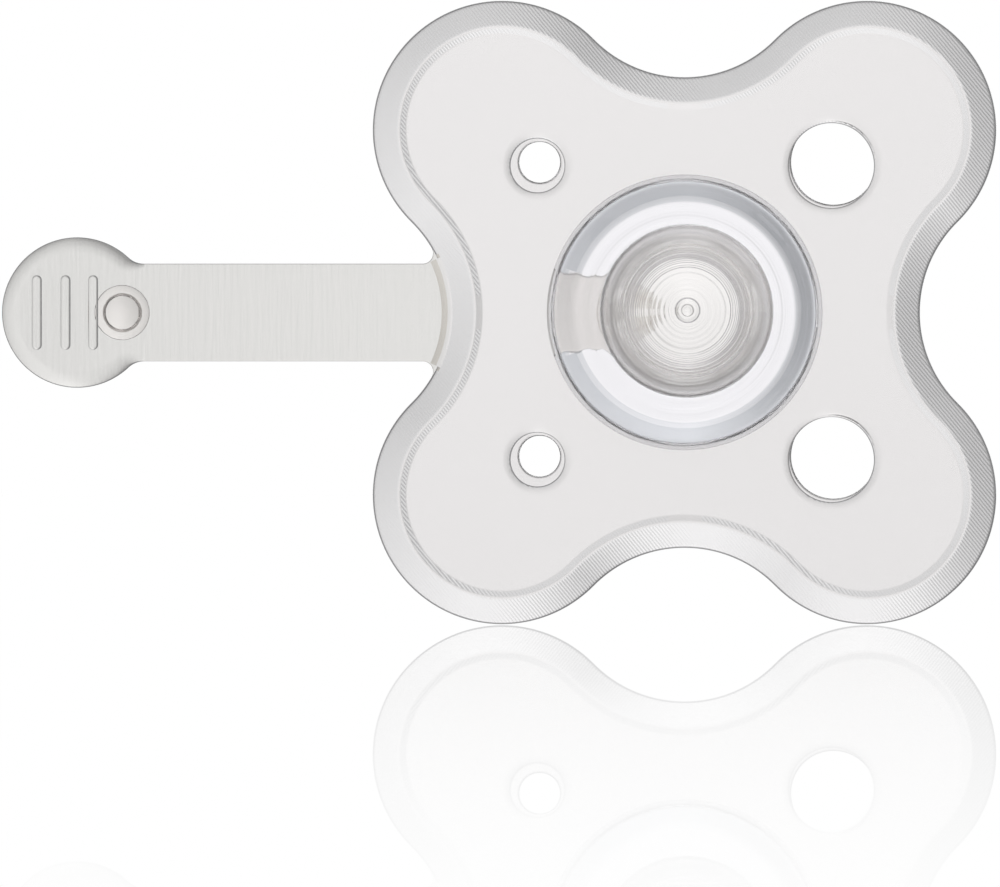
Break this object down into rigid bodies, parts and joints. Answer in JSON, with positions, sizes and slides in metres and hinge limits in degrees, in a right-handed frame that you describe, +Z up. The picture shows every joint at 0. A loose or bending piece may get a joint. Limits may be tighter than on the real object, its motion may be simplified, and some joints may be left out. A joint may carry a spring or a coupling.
{
  "type": "pacifier",
  "caption": "Clear silicone pacifier: lobed shield with vent holes, hollow round teat, and a flat side strap with grip bars that folds over so its stud faces a socket tab.",
  "frame": {"origin": "centre of the shield, midway between its flat faces, where the teat's axis crosses it", "axes": "+Z up with the shield upright, +X from the strap towards the shield's far side, +Y out of the mouth, so the teat points along -Y"},
  "size_m": [0.0866, 0.0281, 0.0542],
  "materials": {
    "shield_silicone": "clear moulded silicone with a fine satin grain",
    "teat_silicone": "clear moulded silicone with faint turning rings",
    "strap_silicone": "clear moulded silicone, satin"
  },
  "bodies": {
    "shield": {"shield_plate": "shield_silicone", "shield_rim": "shield_silicone", "teat_flare": "teat_silicone", "teat_neck": "teat_silicone", "teat_bulb": "teat_silicone", "gate_pip": "teat_silicone", "socket_tab": "shield_silicone", "strap_root": "strap_silicone"},
    "link_1": {"strap_link_1": "strap_silicone"},
    "link_2": {"strap_link_2": "strap_silicone"},
    "strap_end": {"strap_band": "strap_silicone", "strap_disc": "strap_silicone", "grip_bar_1": "strap_silicone", "grip_bar_2": "strap_silicone", "grip_bar_3": "strap_silicone", "stud_flange": "strap_silicone", "stud_stem": "strap_silicone", "stud_head": "strap_silicone"}
  },
  "joints": [
    {"name": "strap_fold_1", "type": "hinge", "parent": "shield", "child": "link_1", "pos_m": [-0.02405, 0.00125, 0], "axis": [0, 0, -1], "range_deg": [0, 63], "stiffness_Nm_per_rad": 0.002},
    {"name": "strap_fold_2", "type": "hinge", "parent": "link_1", "child": "link_2", "pos_m": [-0.02705, 0.00125, 0], "axis": [0, 0, -1], "range_deg": [0, 63], "stiffness_Nm_per_rad": 0.002},
    {"name": "strap_fold_3", "type": "hinge", "parent": "link_2", "child": "strap_end", "pos_m": [-0.03005, 0.00125, 0], "axis": [0, 0, -1], "range_deg": [0, 63], "stiffness_Nm_per_rad": 0.002}
  ],
  "couplings": [
    {"joint": "strap_fold_2", "follows": "strap_fold_1", "ratio": 1},
    {"joint": "strap_fold_3", "follows": "strap_fold_1", "ratio": 1}
  ]
}
